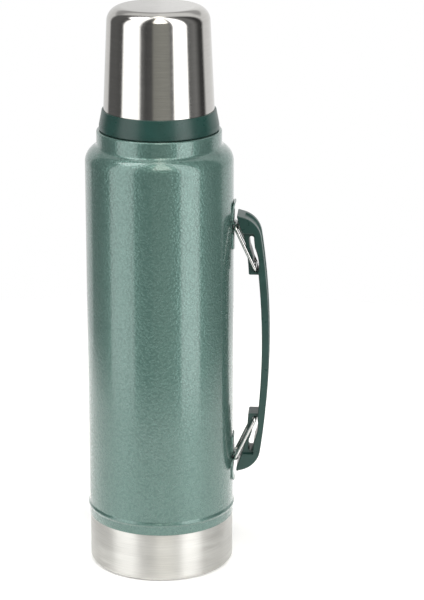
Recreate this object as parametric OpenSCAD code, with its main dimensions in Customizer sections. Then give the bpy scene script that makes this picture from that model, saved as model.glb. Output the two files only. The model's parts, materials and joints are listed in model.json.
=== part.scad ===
// Vacuum flask with a screw-on drinking cup, a screw stopper and a pull-out side handle.
// +Z is up and the flask stands on z = 0, with the origin on its axis.
// The handle is on the +X side. All sizes are in millimetres.

/* [Jacket] */
// Outer diameter of the painted jacket
body_d = 95; // [79:1:114]
// Height of the painted jacket's top edge, at the neck
jacket_h = 291.2; // [282:0.1:350]
// Thickness of the jacket's sheet
jacket_t = 0.7; // [0.5:0.1:1]
// How far the shoulder steps in, from the body to the neck
shoulder_step = 7.5; // [6:0.5:10]
// Radius of the shoulder's round
shoulder_round = 11; // [9:0.5:14]
// Radius of the hollow between shoulder and neck
neck_fillet = 2.5; // [1.5:0.5:4]
// Height of the neck's straight wall
neck_h = 8.6; // [6:0.1:12]
// Radius of the neck's top edge
neck_lip = 1.2; // [0.8:0.1:2]

/* [Base] */
// Height of the bare steel base, up to the paint
base_h = 32.5; // [25:0.5:36]
// Thickness of the base's sheet
base_t = 0.8; // [0.6:0.1:1.2]
// How far the bare steel sits inside the painted surface
band_inset = 0.4; // [0.2:0.1:0.6]
// Radius of the base's outer edge
base_edge = 3.5; // [2:0.5:5]
// Width of the ring that the flask stands on
foot_w = 4.6; // [3:0.1:7]
// Depth of the recess under the base
recess_h = 3.4; // [3:0.1:5]
// Thickness of the cover disc in that recess
cover_t = 2; // [1:0.1:2.5]
// Length of the base's lap inside the jacket
lap_h = 13; // [10:0.5:16]
// Height of the rolled bead's middle above the paint edge
bead_rise = 7.2; // [5:0.1:9]
// Width of the rolled bead
bead_w = 3.6; // [2.4:0.1:4.4]
// How far the bead stands out
bead_out = 0.8; // [0.4:0.1:1.2]

/* [Inner vessel] */
// Gap for the vacuum between jacket and vessel
vacuum_gap = 5.8; // [4:0.1:8]
// Thickness of the vessel's sheet
vessel_t = 0.6; // [0.4:0.1:0.8]
// Height of the vessel's floor
vessel_floor_z = 20; // [17:0.5:26]
// Corner radius of the vessel's floor
vessel_corner = 6; // [4:0.5:9]
// Radius of the vessel's shoulder
vessel_round = 14; // [12:0.5:16]
// Radius of the hollow under the vessel's neck
vessel_fillet = 6; // [4:0.5:8]
// Drop from the jacket's shoulder to the vessel's shoulder
vessel_drop = 8; // [6:0.5:12]
// Thickness of the radiation foil
foil_t = 0.25; // [0.2:0.05:0.4]
// Radius of the getter pellet
getter_r = 9; // [5:0.5:14]
// Thickness of the getter pellet
getter_t = 3; // [2:0.5:5]
// Radius of the evacuation hole
plug_hole_r = 2.5; // [1.5:0.5:4]

/* [Threaded neck] */
// Height of the threaded neck above the jacket
neck_tube_h = 16.8; // [14:0.1:20]
// Thickness of the threaded neck's sheet
neck_tube_t = 0.8; // [0.6:0.1:1]
// Depth of the outer thread
thread_depth = 1.1; // [0.6:0.1:1.4]
// Pitch of both threads
thread_pitch = 4; // [3.5:0.1:4.5]
// Width of the rim, from the neck's outside to the mouth
rim_w = 5; // [3.5:0.1:6]

/* [Drinking cup] */
// How far the collar's foot sits inside the painted neck
collar_inset = 1.7; // [1:0.1:2.5]
// How far the collar draws in from foot to top
collar_flare = 2; // [1:0.1:2.5]
// Height of the collar
collar_h = 12.8; // [11:0.1:15]
// Gap between the jacket and the collar
collar_gap = 0.4; // [0.3:0.1:0.8]
// Width of the collar's top edge round the cup
collar_lip = 1; // [0.7:0.1:1.2]
// Height of the cup's edge above the collar's foot
seat_h = 5.8; // [5:0.1:7]
// Height of the cup above the collar
cup_h = 65.6; // [64:0.1:79]
// Draft angle of the cup's wall
cup_draft = 2.65; // [1:0.05:4]
// Radius of the cup's corner
cup_corner = 9.5; // [8:0.5:12]
// Thickness of each of the cup's two walls
cup_t = 0.6; // [0.4:0.1:0.8]
// Gap between the cup's two walls
cup_gap = 2.2; // [1.5:0.1:2.6]
// How far the collar's bore stands inside the cup's edge
collar_ledge = 1; // [0.5:0.1:1.4]

/* [Stopper] */
// Length of the plug below the rim
plug_depth = 36; // [30:0.5:38]
// Wall of the plug
plug_t = 2.6; // [2.4:0.1:3.2]
// Depth of the plug's thread
plug_thread = 1.3; // [0.8:0.1:1.6]
// Thickness of the flange over the rim
flange_t = 4; // [3:0.1:5]
// Height of the knob above the flange
knob_h = 12; // [9:0.1:14]
// Thickness of both flat gaskets
gasket_t = 2; // [1.5:0.1:2.5]
// Number of finger scallops round the knob
scallops = 12; // [8:1:14]

/* [Handle] */
// Thickness of the grip's strap
grip_t = 4.7; // [4:0.1:5.5]
// Width of the grip
grip_w = 19; // [17:0.5:24]
// Length of the grip, tip to tip
grip_l = 174; // [172:1:176]
// Drop from the shoulder to the grip's middle
grip_drop = 120.1; // [112:0.1:126]
// Radius of the grip's long bow
grip_bow = 484; // [400:1:700]
// Radius of the bend at each end of the grip
grip_bend = 16; // [15:0.5:18]
// Depth of the channel down the grip's outer face
channel_depth = 1; // [0.5:0.1:1.5]
// Width of that channel
channel_w = 10; // [6:0.5:11]
// Wall of the grip outside each slot
slot_wall = 4.6; // [3.5:0.1:6]
// Thickness of the wall that each slot's foot stands on
shelf_t = 1.8; // [1.5:0.1:2.5]
// Thickness of the leg between slot and jacket, at the slot's foot
leg_t = 2.9; // [2:0.1:3.5]
// Length of each slot past the cross bar's travel
slot_spare = 5.8; // [1:0.1:6.5]
// Gap between the grip's ends and the brackets
grip_clear = 1.2; // [1:0.1:2]

/* [Bails] */
// Diameter of the bail wire
wire_d = 2.4; // [2:0.1:2.8]
// Length of a bail between its two cross bars
bail_l = 30.6; // [29:0.1:31.5]
// Width of a bail between its side wires
bail_w = 17.5; // [16.5:0.1:22]
// Bend radius of the bail's corners
bail_bend = 2.5; // [2:0.1:3]
// Angle of a folded bail from the vertical
bail_folded = 25; // [24:0.5:27]
// Angle of a bail at the grip's full pull
bail_open = 65; // [60:0.5:66]
// Travel of the grip away from the jacket
grip_pull = 17; // [15.5:0.1:17.5]
// Distance of each bail's hinge from the grip's tip
hinge_drop = 8.6; // [8:0.1:9]
// Wall between the jacket and each hinge's bore
hinge_floor = 0.32; // [0.2:0.02:0.6]
// Wall of each hinge's hump
hump_t = 0.75; // [0.6:0.05:1]
// Thickness of the bracket plate
plate_t = 0.9; // [0.6:0.1:1.2]
// Width of the bracket plate
plate_w = 18; // [16:0.5:22]
// Length of the bracket plate from the hinge to each end
plate_l = 15; // [12:0.5:16]
// How far the bracket's outer end curls away from the jacket
plate_curl = 0.7; // [0.5:0.1:1.5]

/* [Clearances] */
// Radial play of a bail in its bracket
hinge_play = 0.08; // [0.02:0.01:0.1]
// Play of a bail's cross bar on each side in its slot
slot_play = 0.45; // [0.35:0.05:0.6]
// Play between a bail's side wires and the pocket's sides
side_play = 0.55; // [0.4:0.05:1]
// Play of the collar's bore over the outer thread
thread_play = 0.6; // [0.3:0.1:0.8]
// Play of the plug's thread in the mouth
plug_play = 0.4; // [0.3:0.1:0.6]
// Play of a flat gasket in its seat
gasket_play = 0.15; // [0.1:0.05:0.2]

/* [Hidden] */
$fn = 96;
eps = 0.01;
arc_steps = 10;

// Jacket and base radii and heights
body_r = body_d / 2;
neck_r = body_r - shoulder_step;
shoulder_turn = acos(1 - shoulder_step / (shoulder_round + neck_fillet));
shoulder_rise = (shoulder_round + neck_fillet) * sin(shoulder_turn);
shoulder_top_z = jacket_h - neck_h;
shoulder_z = shoulder_top_z - shoulder_rise;
band_r = body_r - band_inset;
lap_r = body_r - jacket_t;
base_in_r = lap_r - base_t;
foot_out_r = band_r - base_edge;
foot_in_r = foot_out_r - foot_w;
recess_draft = 0.8;
bead_z = base_h + bead_rise;
bead_curve = (pow(bead_w / 2, 2) + pow(bead_out, 2)) / (2 * bead_out);
bead_turn = asin(bead_w / 2 / bead_curve);

// Cup, from the collar's foot inwards
collar_foot_r = neck_r - collar_inset;
collar_top_r = collar_foot_r - collar_flare;
collar_z = jacket_h + collar_gap;
collar_top_z = collar_z + collar_h;
seat_z = collar_z + seat_h;
cup_top_z = collar_top_z + cup_h;
cup_r = collar_top_r - collar_lip;
liner_depth = cup_t + cup_gap;
liner_in = liner_depth + cup_t;
cup_edge_r = cup_r + (collar_top_z - seat_z) * tan(cup_draft);
corner_z = cup_top_z - cup_corner;
corner_r = cup_r - (corner_z + cup_corner * sin(cup_draft) - collar_top_z) * tan(cup_draft)
  - cup_corner * cos(cup_draft);
collar_bore_r = cup_edge_r - liner_in / cos(cup_draft) - collar_ledge;

// Threaded neck, mouth and vessel
thread_crest_r = collar_bore_r - thread_play;
neck_tube_r = thread_crest_r - thread_depth;
mouth_r = neck_tube_r - rim_w;
rim_z = jacket_h + neck_tube_h;
neck_root = 4;
thread_first = 3.4;
thread_turns = 3;
vessel_r = lap_r - vacuum_gap;
vessel_neck_r = mouth_r + vessel_t;
vessel_in_r = vessel_r - vessel_t;
vessel_turn = acos(1 - (vessel_r - vessel_neck_r) / (vessel_round + vessel_fillet));
vessel_z = shoulder_z - vessel_drop;
vessel_neck_z = vessel_z + (vessel_round + vessel_fillet) * sin(vessel_turn);
vessel_under_z = vessel_floor_z - vessel_t;
vessel_lap = 3;
vessel_edge_z = vessel_under_z + vessel_corner - 1.4;
foil_margin = 7;
plug_head = 2;
plug_head_t = 1.6;

// Stopper
stopper_crest_r = mouth_r - plug_play;
plug_r = stopper_crest_r - plug_thread;
plug_z = rim_z - plug_depth;
gasket_gap = 0.1;
flange_z = rim_z + gasket_gap + gasket_t + gasket_gap;
flange_r = neck_tube_r - 0.9;
knob_r = plug_r - 0.3;
knob_z = flange_z + flange_t;
socket_h = 2;
socket_play = 0.05;
knob_dish_h = 2;
knob_dish_r = knob_r - 6.5;
scallop_r = 3;
oring_r = 1.2;
oring_seat = 1.25;
oring_rise = 6;
plug_thread_first = 8;
plug_thread_turns = 3;
plug_chamfer = 1.5;

// Handle, seen from the side with the grip's middle as the level v = 0
wire_r = wire_d / 2;
handle_z = shoulder_z - grip_drop;
hinge_x = body_r + hinge_floor + hinge_play + wire_r;
hinge_rise = grip_l / 2 - hinge_drop;
tip_x = body_r + plate_t + grip_clear;
tip_slope = 15.5;
slot_half = wire_r + slot_play;
slot_foot = [hinge_x + bail_l * sin(bail_folded), hinge_rise - bail_l * cos(bail_folded)];
shelf_v = slot_foot[1] - slot_half - shelf_t;
slot_end = hinge_rise - bail_l * cos(bail_open) + slot_half + slot_spare;
bow_x = slot_foot[0] + slot_half + slot_wall - sqrt(pow(grip_bow, 2) - pow(slot_foot[1], 2));
leg_w = bail_w - wire_d - 2 * side_play;
knuckle_r = wire_r + hinge_play + hump_t;
knuckle_l = bail_w - 2 * bail_bend - 1;
bend_turn = 90 - tip_slope;
bend_x0 = bow_x + sqrt(pow(grip_bow - grip_bend, 2) - pow(grip_l / 2 - grip_bend, 2));
bend_v = grip_l / 2 - grip_bend * sin(bend_turn)
  - (bend_x0 + grip_bend * cos(bend_turn) - tip_x) * tan(tip_slope);
bow_turn = asin(bend_v / (grip_bow - grip_bend));
bend_x = bow_x + (grip_bow - grip_bend) * cos(bow_turn);
channel_turn = bend_turn - 4;
channel_room = 3;
pocket_top = slot_end + 2;

paint = [0.42, 0.56, 0.51];
trim = [0.17, 0.29, 0.26];
steel = [0.78, 0.77, 0.75];
silicone = [0.86, 0.86, 0.84];
foam = [0.93, 0.90, 0.80];

// Points along an arc about c, from angle a0 to a1
function arc(c, r, a0, a1) =
  [for (i = [0:arc_steps]) c + r * [cos(a0 + (a1 - a0) * i / arc_steps), sin(a0 + (a1 - a0) * i / arc_steps)]];

function reverse(list) = [for (i = [len(list) - 1:-1:0]) list[i]];

// Points along a quadratic curve from a to b, drawn towards c
function curve(a, c, b) =
  [for (i = [0:arc_steps]) let (t = i / arc_steps) pow(1 - t, 2) * a + 2 * t * (1 - t) * c + pow(t, 2) * b];

// A rounded corner at p, on the way from a to b
function corner(a, p, b, r) =
  curve(p + r * (a - p) / norm(a - p), p, p + r * (b - p) / norm(b - p));

// Ridges of a thread drawn as plain rings, as points going up a wall of radius r
function ridges(r, depth, z, count) =
  [for (i = [0:count - 1], p = [[0, -0.3], [depth, -0.12], [depth, 0.12], [0, 0.3]])
    [r + p[0], z + (i + p[1]) * thread_pitch]];

// An S-shaped shoulder: a round of radius r, then a hollow of radius f, up to the neck radius
function shoulder(r0, z0, r, neck, f, turn, t) = concat(
  arc([r0 - r, z0], r - t, 0, turn),
  arc([neck + f, z0 + (r + f) * sin(turn)], f + t, 180 + turn, 180)
);

// The cup's surface, d inside its outer face, from the edge up to the axis
function cup_surface(d) = concat(
  [[cup_edge_r - d / cos(cup_draft), seat_z]],
  arc([corner_r, corner_z], cup_corner - d, cup_draft, 90),
  [[0, cup_top_z - d]]
);

// Where a bail's cross bar is in the grip's own frame, as the bail swings to angle a
function slot_at(a) = [
  hinge_x + bail_l * sin(a) - grip_pull * (a - bail_folded) / (bail_open - bail_folded),
  hinge_rise - bail_l * cos(a)
];

function slot_path() = concat(
  [for (i = [0:arc_steps]) slot_at(bail_folded + (bail_open - bail_folded) * i / arc_steps)],
  [[slot_at(bail_open)[0] - 0.6, slot_end - slot_half]]
);

// The slot's edge on one side of its path
function slot_edge(side) =
  let (p = slot_path(), n = len(p) - 1)
  [for (i = [0:n])
    let (d = p[min(i + 1, n)] - p[max(i - 1, 0)])
    p[i] + side * slot_half * [d[1], -d[0]] / norm(d)];

module lathe(points) {
  rotate_extrude() polygon(points);
}

module ring(r_in, r_out, z, h) {
  lathe([[r_in, z], [r_out, z], [r_out, z + h], [r_in, z + h]]);
}

// ---- Jacket and base ----

module outer_shell() {
  color(paint)
    lathe(concat(
      [[body_r, base_h]],
      arc([body_r + bead_out - bead_curve, bead_z], bead_curve, -bead_turn, bead_turn),
      shoulder(body_r, shoulder_z, shoulder_round, neck_r, neck_fillet, shoulder_turn, 0),
      arc([neck_r - neck_lip, jacket_h - neck_lip], neck_lip, 0, 90),
      [
        [neck_tube_r, jacket_h],
        [neck_tube_r, jacket_h - jacket_t],
        [neck_r - jacket_t, jacket_h - jacket_t]
      ],
      reverse(shoulder(body_r, shoulder_z, shoulder_round, neck_r, neck_fillet, shoulder_turn, jacket_t)),
      [[lap_r, base_h]]
    ));
}

module base_cup() {
  color(steel)
    lathe(concat(
      [
        [plug_hole_r, recess_h],
        [foot_in_r - recess_draft, recess_h],
        [foot_in_r, 0]
      ],
      arc([foot_out_r, base_edge], base_edge, -90, 0),
      [
        [band_r, base_h],
        [lap_r, base_h],
        [lap_r, base_h + lap_h],
        [base_in_r, base_h + lap_h]
      ],
      arc([base_in_r - base_edge, base_edge + base_t], base_edge, 0, -90),
      [
        [foot_in_r + base_t, base_t],
        [foot_in_r + base_t - recess_draft, recess_h + base_t],
        [plug_hole_r, recess_h + base_t]
      ]
    ));
}

module bottom_cover() {
  cover_r = foot_in_r - recess_draft - gasket_play;
  edge = 0.5;
  color(trim)
    lathe([
      [0, recess_h],
      [cover_r, recess_h],
      [cover_r, recess_h - cover_t + edge],
      [cover_r - edge, recess_h - cover_t],
      [0, recess_h - cover_t]
    ]);
}

module seal_plug() {
  color(steel)
    lathe([
      [0, recess_h],
      [plug_hole_r, recess_h],
      [plug_hole_r, recess_h + base_t],
      [plug_hole_r + plug_head, recess_h + base_t],
      [plug_hole_r + plug_head, recess_h + base_t + plug_head_t],
      [0, recess_h + base_t + plug_head_t]
    ]);
}

// ---- Inner vessel ----

module inner_vessel() {
  color(steel)
    ring(vessel_in_r, vessel_r, vessel_edge_z, vessel_z - vessel_edge_z);
}

module vessel_neck() {
  color(steel)
    lathe(concat(
      shoulder(vessel_r, vessel_z, vessel_round, vessel_neck_r, vessel_fillet, vessel_turn, 0),
      [[vessel_neck_r, rim_z], [mouth_r, rim_z]],
      reverse(shoulder(vessel_r, vessel_z, vessel_round, vessel_neck_r, vessel_fillet, vessel_turn, vessel_t))
    ));
}

module vessel_bottom() {
  centre = [vessel_in_r - vessel_corner, vessel_under_z + vessel_corner];
  top_z = centre[1] + vessel_lap;
  color(steel)
    lathe(concat(
      [[0, vessel_under_z]],
      arc(centre, vessel_corner, -90, 0),
      [[vessel_in_r, top_z], [vessel_in_r - vessel_t, top_z]],
      arc(centre, vessel_corner - vessel_t, 0, -90),
      [[0, vessel_floor_z]]
    ));
}

module foil_wrap() {
  foil_z = vessel_edge_z + foil_margin;
  color([0.83, 0.55, 0.38])
    ring(vessel_r, vessel_r + foil_t, foil_z, vessel_z - foil_margin - foil_z);
}

module getter() {
  color([0.35, 0.35, 0.37])
    translate([0, 0, vessel_under_z - getter_t])
      cylinder(r = getter_r, h = getter_t);
}

module neck_ring() {
  color(steel)
    lathe(concat(
      [[neck_tube_r, jacket_h - neck_root]],
      ridges(neck_tube_r, thread_depth, jacket_h + thread_first, thread_turns),
      arc([neck_tube_r - neck_tube_t, rim_z - neck_tube_t], neck_tube_t, 0, 90),
      [
        [vessel_neck_r, rim_z],
        [vessel_neck_r, rim_z - neck_tube_t],
        [neck_tube_r - neck_tube_t, rim_z - neck_tube_t],
        [neck_tube_r - neck_tube_t, jacket_h - neck_root]
      ]
    ));
}

// ---- Drinking cup ----

module cup_ring() {
  edge = 0.6;
  groove_in = collar_bore_r + 1.2;
  groove_out = collar_foot_r - 2.7;
  groove_z = collar_z + gasket_t - collar_gap + 2 * gasket_play;
  color(trim)
    lathe([
      [groove_out, collar_z],
      [collar_foot_r - edge, collar_z],
      [collar_foot_r, collar_z + edge],
      [collar_foot_r - 0.1, collar_z + 3],
      [collar_top_r, collar_top_z - edge / 2],
      [collar_top_r - edge / 2, collar_top_z],
      [cup_r, collar_top_z],
      [cup_edge_r, seat_z],
      [collar_bore_r, seat_z],
      [collar_bore_r, collar_z],
      [groove_in, collar_z],
      [groove_in, groove_z],
      [groove_out, groove_z]
    ]);
}

module cup_shell() {
  color(steel)
    lathe(concat(cup_surface(0), reverse(cup_surface(cup_t))));
}

module cup_liner() {
  color(steel)
    lathe(concat(cup_surface(liner_depth), reverse(cup_surface(liner_in))));
}

module cup_gasket() {
  r_in = collar_bore_r + 1.2 + gasket_play;
  r_out = collar_foot_r - 2.7 - gasket_play;
  color(silicone)
    ring(r_in, r_out, jacket_h + gasket_play, gasket_t);
}

// ---- Stopper ----

module stopper_body() {
  groove_z = plug_z + oring_rise;
  in_r = plug_r - plug_t;
  color(trim)
    lathe(concat(
      [
        [0, plug_z],
        [plug_r - plug_chamfer, plug_z],
        [plug_r, plug_z + plug_chamfer],
        [plug_r, groove_z - oring_seat],
        [plug_r - oring_seat, groove_z - oring_seat],
        [plug_r - oring_seat, groove_z + oring_seat],
        [plug_r, groove_z + oring_seat]
      ],
      ridges(plug_r, plug_thread, groove_z + plug_thread_first, plug_thread_turns),
      [
        [plug_r, flange_z + socket_h],
        [in_r, flange_z + socket_h],
        [in_r, plug_z + plug_t],
        [0, plug_z + plug_t]
      ]
    ));
}

module stopper_core() {
  head_room = 1;
  color(foam)
    ring(0, plug_r - plug_t, plug_z + plug_t, plug_depth + flange_z - rim_z + socket_h - plug_t - head_room);
}

module stopper_cap() {
  socket_r = plug_r + socket_play;
  top_z = knob_z + knob_h;
  edge = 1;
  color(trim)
    difference() {
      lathe([
        [0, flange_z + socket_h],
        [socket_r, flange_z + socket_h],
        [socket_r, flange_z],
        [flange_r - edge, flange_z],
        [flange_r, flange_z + edge],
        [flange_r, knob_z - edge],
        [flange_r - edge, knob_z],
        [knob_r, knob_z],
        [knob_r, top_z - edge],
        [knob_r - edge, top_z],
        [knob_dish_r, top_z],
        [knob_dish_r - edge, top_z - knob_dish_h],
        [0, top_z - knob_dish_h]
      ]);
      for (i = [0:scallops - 1])
        rotate([0, 0, i * 360 / scallops])
          translate([knob_r + scallop_r / 2, 0, knob_z])
            cylinder(r = scallop_r, h = knob_h + 1, $fn = 48);
    }
}

module stopper_gasket() {
  color(silicone)
    ring(mouth_r + 0.4, flange_r, rim_z + gasket_gap, gasket_t);
}

module stopper_oring() {
  color(silicone)
    rotate_extrude()
      translate([plug_r - oring_seat + oring_r, plug_z + oring_rise])
        circle(r = oring_r, $fn = 48);
}

// ---- Handle ----

// A bracket for the bail above the grip's middle, in the jacket's frame
module bracket() {
  low = hinge_rise - plate_l;
  high = hinge_rise + plate_l + 1;
  curl_v = high - 5;
  notch = plate_w / 2 - knuckle_l / 2;
  notch_h = 2 * (wire_r + bail_bend);
  out_r = body_r + plate_t;
  round_r = 4;
  color(paint)
    difference() {
      union() {
        intersection() {
          rotate_extrude($fn = 192)
            polygon([
              [body_r - 1, low],
              [out_r, low],
              [out_r, curl_v],
              [out_r + plate_curl, high],
              [body_r + plate_curl, high],
              [body_r, curl_v],
              [body_r - 1, curl_v]
            ]);
          translate([body_r / 2, 0, 0])
            rotate([90, 0, 90])
              linear_extrude(height = body_r)
                plate_outline(low, high, round_r);
        }
        translate([hinge_x, 0, hinge_rise])
          rotate([90, 0, 0])
            cylinder(r = knuckle_r, h = knuckle_l, center = true);
      }
      translate([hinge_x, 0, hinge_rise])
        rotate([90, 0, 0])
          cylinder(r = wire_r + hinge_play, h = plate_w + 2, center = true);
      translate([0, 0, low - 1])
        cylinder(r = body_r, h = high - low + 2, $fn = 192);
      for (side = [-1, 1])
        translate([hinge_x, side * (plate_w / 2 + eps), hinge_rise])
          cube([3 * plate_w, 2 * notch, notch_h], center = true);
    }
}

// The bracket plate unrolled: a strip with rounded ends
module plate_outline(low, high, round_r) {
  half = plate_w / 2;
  union() {
    translate([-half, low + round_r])
      square([plate_w, high - low - 2 * round_r]);
    translate([round_r - half, low])
      square([plate_w - 2 * round_r, high - low]);
    for (x = [-1, 1], z = [low + round_r, high - round_r])
      translate([x * (half - round_r), z])
        circle(r = round_r, $fn = 48);
  }
}

module upper_bracket() {
  translate([0, 0, handle_z])
    bracket();
}

module lower_bracket() {
  translate([0, 0, handle_z])
    mirror([0, 0, 1])
      bracket();
}

// A closed loop of wire with one cross bar on the Y axis and the other at x = bail_l
module bail() {
  half = bail_w / 2;
  color(steel)
    union() {
      for (x = [0, bail_l])
        translate([x, 0, 0])
          rotate([90, 0, 0])
            cylinder(r = wire_r, h = bail_w - 2 * bail_bend, center = true, $fn = 48);
      for (y = [-half, half])
        translate([bail_bend, y, 0])
          rotate([0, 90, 0])
            cylinder(r = wire_r, h = bail_l - 2 * bail_bend, $fn = 48);
      for (end = [[bail_l - bail_bend, 1, 0], [bail_l - bail_bend, -1, -90], [bail_bend, 1, 90], [bail_bend, -1, 180]])
        translate([end[0], end[1] * (half - bail_bend), 0])
          rotate([0, 0, end[2]])
            rotate_extrude(angle = 90)
              translate([bail_bend, 0])
                circle(r = wire_r, $fn = 48);
    }
}

module upper_bail() {
  translate([hinge_x, 0, handle_z + hinge_rise])
    rotate([0, 90 - bail_folded, 0])
      bail();
}

module lower_bail() {
  translate([hinge_x, 0, handle_z - hinge_rise])
    rotate([0, bail_folded - 90, 0])
      bail();
}

// The grip's side view, from the middle of its outer face round one end to its inner face
function grip_half() =
  let (
    leg_x = slot_foot[0] - slot_half - leg_t,
    in_r = grip_bow - grip_t,
    strap_turn = asin(shelf_v / in_r),
    strap_at = [bow_x + in_r * cos(strap_turn), shelf_v],
    leg_foot = [leg_x, shelf_v],
    leg_top = [hinge_x + knuckle_r + grip_clear, hinge_rise - 1.1],
    leg_bow = [leg_x - 1, hinge_rise - 9.6],
    bend_end = [bend_x + grip_bend * cos(bend_turn), bend_v + grip_bend * sin(bend_turn)],
    tip = [tip_x, bend_end[1] + (bend_end[0] - tip_x) * tan(tip_slope)],
    strap_in = [bow_x + in_r * cos(strap_turn / 2), in_r * sin(strap_turn / 2)]
  )
  concat(
    arc([bow_x, 0], grip_bow, 0, bow_turn),
    arc([bend_x, bend_v], grip_bend, bow_turn, bend_turn),
    corner(bend_end, tip, leg_top, 0.8),
    curve(leg_top, leg_bow, leg_foot + [0, 1.5]),
    corner(leg_foot + [0, 1.5], leg_foot, strap_at, 1),
    corner(leg_foot, strap_at, strap_in, 2.5),
    arc([bow_x, 0], in_r, strap_turn / 2, 0)
  );

module grip_side() {
  upper = grip_half();
  polygon(concat(upper, [for (i = [len(upper) - 2:-1:1]) [upper[i][0], -upper[i][1]]]));
}

// A line d outside the grip's outer face, from its middle to the channel's end
function face_line(d) = concat(
  arc([bow_x, 0], grip_bow + d, 0, bow_turn),
  arc([bend_x, bend_v], grip_bend + d, bow_turn, channel_turn)
);

// A line that starts at v = 0, led on from its mirror image below
function mirrored(line) =
  concat([for (i = [len(line) - 1:-1:1]) [line[i][0], -line[i][1]]], line);

// The channel down the grip's outer face
module channel_side() {
  polygon(concat(mirrored(face_line(channel_room)), reverse(mirrored(face_line(-channel_depth)))));
}

// The slot for a bail's cross bar
module slot() {
  path = slot_path();
  polygon(concat(slot_edge(1), reverse(slot_edge(-1))));
  for (end = [path[0], path[len(path) - 1]])
    translate(end)
      circle(r = slot_half, $fn = 48);
}

// Room beside the slot's leg for the bail's side wires
module wire_room() {
  edge = slot_edge(1);
  last = edge[len(edge) - 1];
  polygon(concat(
    [[body_r - 2, shelf_v - 4], [edge[0][0], shelf_v - 4]],
    edge,
    [[last[0], pocket_top], [body_r - 2, pocket_top]]
  ));
}

module both_ends() {
  children();
  mirror([0, 1]) children();
}

module across(width) {
  rotate([90, 0, 0])
    linear_extrude(height = width, center = true)
      children();
}

module grip() {
  color(trim)
    translate([0, 0, handle_z])
      difference() {
        union() {
          across(leg_w)
            difference() {
              grip_side();
              both_ends() slot();
            }
          across(grip_w)
            difference() {
              grip_side();
              both_ends() {
                slot();
                wire_room();
              }
            }
        }
        across(channel_w)
          channel_side();
      }
}

outer_shell();
base_cup();
bottom_cover();
seal_plug();
inner_vessel();
vessel_neck();
vessel_bottom();
foil_wrap();
getter();
neck_ring();
upper_bracket();
lower_bracket();
upper_bail();
lower_bail();
grip();
cup_ring();
cup_shell();
cup_liner();
cup_gasket();
stopper_body();
stopper_core();
stopper_cap();
stopper_gasket();
stopper_oring();
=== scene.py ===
"""A vacuum flask with a drinking cup, a screw stopper and a pull-out handle: its visual model.

Shapes are drawn in millimetres in the CAD's frame and made in metres: +Z is up, the flask stands
on z = 0 with its axis on the Z axis, and the handle is on the +X side.
"""

import json
import math

import bmesh
import bpy
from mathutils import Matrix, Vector


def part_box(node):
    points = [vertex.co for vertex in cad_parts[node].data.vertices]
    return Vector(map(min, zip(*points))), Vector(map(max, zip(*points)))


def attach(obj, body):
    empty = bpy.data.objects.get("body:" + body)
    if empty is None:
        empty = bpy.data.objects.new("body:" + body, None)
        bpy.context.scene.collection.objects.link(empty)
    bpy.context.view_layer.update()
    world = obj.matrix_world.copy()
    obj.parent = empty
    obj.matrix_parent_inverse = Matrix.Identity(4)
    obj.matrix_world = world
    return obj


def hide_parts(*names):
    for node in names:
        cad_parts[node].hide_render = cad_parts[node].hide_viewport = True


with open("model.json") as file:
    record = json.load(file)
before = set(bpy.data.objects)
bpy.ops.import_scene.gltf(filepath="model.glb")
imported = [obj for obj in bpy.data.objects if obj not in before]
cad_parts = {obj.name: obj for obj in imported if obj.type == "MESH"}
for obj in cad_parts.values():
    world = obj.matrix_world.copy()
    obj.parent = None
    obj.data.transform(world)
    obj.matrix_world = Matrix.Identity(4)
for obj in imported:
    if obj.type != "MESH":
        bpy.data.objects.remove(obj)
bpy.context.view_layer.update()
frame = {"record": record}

MM = 0.001
TURN = 2 * math.pi


def cad_box(node):
    """A CAD node's lowest and highest corner, in millimetres."""
    low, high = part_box(node)
    return low / MM, high / MM


def radius_of(node):
    return cad_box(node)[1].y


def top_of(node):
    return cad_box(node)[1].z


def foot_of(node):
    return cad_box(node)[0].z


# ---------------------------------------------------------------- sizes, from the CAD
BAND_R = radius_of("base_cup")
BODY_R = BAND_R + 0.4
JACKET_T = 0.7
LAP_R = BODY_R - JACKET_T
PAINT_Z = foot_of("outer_shell")
JACKET_TOP = top_of("outer_shell")
NECK_R = BODY_R - 7.5
SHOULDER_R, FILLET_R = 11.0, 2.5
SHOULDER_TURN = math.acos(1 - (BODY_R - NECK_R) / (SHOULDER_R + FILLET_R))
SHOULDER_RISE = (SHOULDER_R + FILLET_R) * math.sin(SHOULDER_TURN)
NECK_H = 8.6
SHOULDER_Z = JACKET_TOP - NECK_H - SHOULDER_RISE
BEAD_Z, BEAD_HALF = PAINT_Z + 7.2, 2.0
BEAD_OUT = radius_of("outer_shell") - BODY_R

COLLAR_Z = foot_of("cup_ring")
COLLAR_TOP = top_of("cup_ring")
COLLAR_R = radius_of("cup_ring")
COLLAR_TOP_R = COLLAR_R - 2.0
CUP_TOP = top_of("cup_shell")
SEAT_Z = foot_of("cup_shell")
CUP_EDGE_R = radius_of("cup_shell")
CUP_DRAFT = math.radians(2.65)
CUP_CORNER = 9.5
CUP_R = COLLAR_TOP_R - 1.0
CUP_T = 0.6
LINER_DEPTH = CUP_TOP - top_of("cup_liner")

RIM_Z = top_of("neck_ring")
THREAD_R = radius_of("neck_ring")
THREAD_DEPTH, PITCH = 1.1, 4.0
NECK_TUBE_R = THREAD_R - THREAD_DEPTH
COLLAR_BORE_R = THREAD_R + 0.6
MOUTH_R = NECK_TUBE_R - 5.0
VESSEL_R = radius_of("inner_vessel")
VESSEL_T = 0.6

FLANGE_Z = top_of("stopper_gasket") + 0.1
FLANGE_R = radius_of("stopper_cap")
KNOB_TOP = top_of("stopper_cap")
KNOB_Z = FLANGE_Z + 4.0
PLUG_Z = foot_of("stopper_body")
PLUG_CREST_R = radius_of("stopper_body")
PLUG_R = PLUG_CREST_R - 1.3
KNOB_R = PLUG_R - 0.3

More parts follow.
